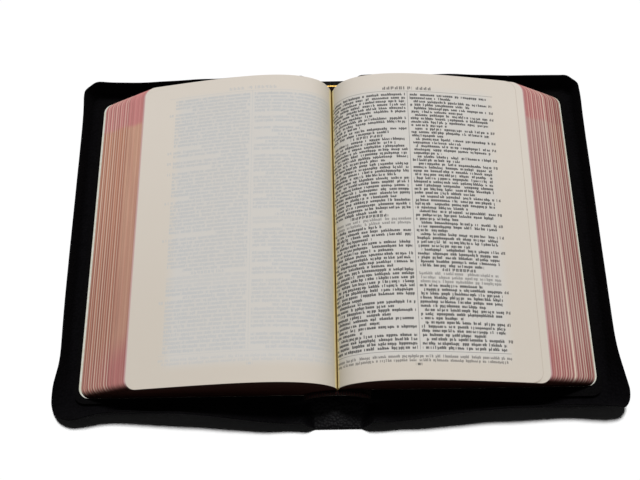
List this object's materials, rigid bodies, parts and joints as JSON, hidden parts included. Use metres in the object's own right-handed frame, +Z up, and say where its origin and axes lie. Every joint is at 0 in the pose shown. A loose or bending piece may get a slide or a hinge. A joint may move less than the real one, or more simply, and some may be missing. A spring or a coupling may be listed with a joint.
{
  "type": "open bible",
  "caption": "Open bible in a limp black leather binding with turned-up cover edges, sewn gatherings of leaves, a leaf that turns and covers that fold back.",
  "frame": {"origin": "middle of the spine, on the surface that the open book lies on", "axes": "+X across the open book towards the back cover, +Y towards the head of the pages, +Z up"},
  "size_m": [0.3476, 0.249, 0.0386],
  "materials": {
    "black_leather": "fine natural grain, soft satin",
    "black_lining": "smooth, semi-matt",
    "grey_card": "raw board, hidden",
    "cream_paper": "thin matt bible paper, printed in dark grey",
    "flyleaf_paper": "plain matt paper",
    "page_edges": "red under worn gilding",
    "lining_cloth": "dark open-weave cotton, glued",
    "linen_thread": "waxed linen"
  },
  "bodies": {
    "text_block": {"front_flyleaf": "flyleaf_paper", "back_flyleaf": "flyleaf_paper", "spine_leather": "black_leather", "spine_card": "grey_card", "spine_cloth": "lining_cloth", "sewing_tape_1": "lining_cloth", "sewing_tape_2": "lining_cloth", "sewing_tape_3": "lining_cloth", "kettle_stitch_head": "linen_thread", "kettle_stitch_tail": "linen_thread", "headband": "linen_thread", "tailband": "linen_thread", "left_gathering_1": "page_edges", "left_gathering_2": "page_edges", "left_gathering_3": "page_edges", "left_gathering_4": "page_edges", "left_gathering_5": "page_edges", "left_gathering_6": "page_edges", "left_gathering_7": "page_edges", "left_gathering_8": "page_edges", "left_gathering_9": "page_edges", "right_gathering_1": "page_edges", "right_gathering_2": "page_edges", "right_gathering_3": "page_edges", "right_gathering_4": "page_edges", "right_gathering_5": "page_edges", "right_gathering_6": "page_edges", "right_gathering_7": "page_edges", "right_gathering_8": "page_edges", "right_gathering_9": "page_edges"},
    "front_cover": {"front_cover_leather": "black_leather", "front_cover_card": "grey_card", "front_cover_lining": "black_lining"},
    "back_cover": {"back_cover_leather": "black_leather", "back_cover_card": "grey_card", "back_cover_lining": "black_lining"},
    "leaf_root": {"turning_leaf_root": "cream_paper"},
    "leaf_shoulder": {"turning_leaf_shoulder": "cream_paper"},
    "leaf_crown": {"turning_leaf_crown": "cream_paper"},
    "leaf_slope": {"turning_leaf_slope": "cream_paper"},
    "leaf_page": {"turning_leaf_page": "cream_paper"}
  },
  "joints": [
    {"name": "front_cover_fold", "type": "hinge", "parent": "text_block", "child": "front_cover", "pos_m": [-0.0208, 0, 0], "axis": [0, -1, 0], "range_deg": [0, 90]},
    {"name": "back_cover_fold", "type": "hinge", "parent": "text_block", "child": "back_cover", "pos_m": [0.0208, 0, 0], "axis": [0, 1, 0], "range_deg": [0, 90]},
    {"name": "leaf_turn", "type": "hinge", "parent": "text_block", "child": "leaf_root", "pos_m": [0, 0, 0.01945], "axis": [0, -1, 0], "range_deg": [0, 52.15]},
    {"name": "leaf_shoulder_bend", "type": "hinge", "parent": "leaf_root", "child": "leaf_shoulder", "pos_m": [0.0029, 0, 0.02538], "axis": [0, -1, 0], "range_deg": [0, 45.3]},
    {"name": "leaf_crown_bend", "type": "hinge", "parent": "leaf_shoulder", "child": "leaf_crown", "pos_m": [0.0106, 0, 0.03215], "axis": [0, -1, 0], "range_deg": [0, 41.68]},
    {"name": "leaf_slope_bend", "type": "hinge", "parent": "leaf_crown", "child": "leaf_slope", "pos_m": [0.02466, 0, 0.0374], "axis": [0, -1, 0], "range_deg": [0, 36.25]},
    {"name": "leaf_page_bend", "type": "hinge", "parent": "leaf_slope", "child": "leaf_page", "pos_m": [0.05105, 0, 0.0385], "axis": [0, -1, 0], "range_deg": [0, 25.39]}
  ],
  "couplings": [
    {"joint": "leaf_shoulder_bend", "follows": "leaf_turn", "ratio": 0.86769},
    {"joint": "leaf_crown_bend", "follows": "leaf_turn", "ratio": 0.79827},
    {"joint": "leaf_slope_bend", "follows": "leaf_turn", "ratio": 0.69415},
    {"joint": "leaf_page_bend", "follows": "leaf_turn", "ratio": 0.48591}
  ]
}
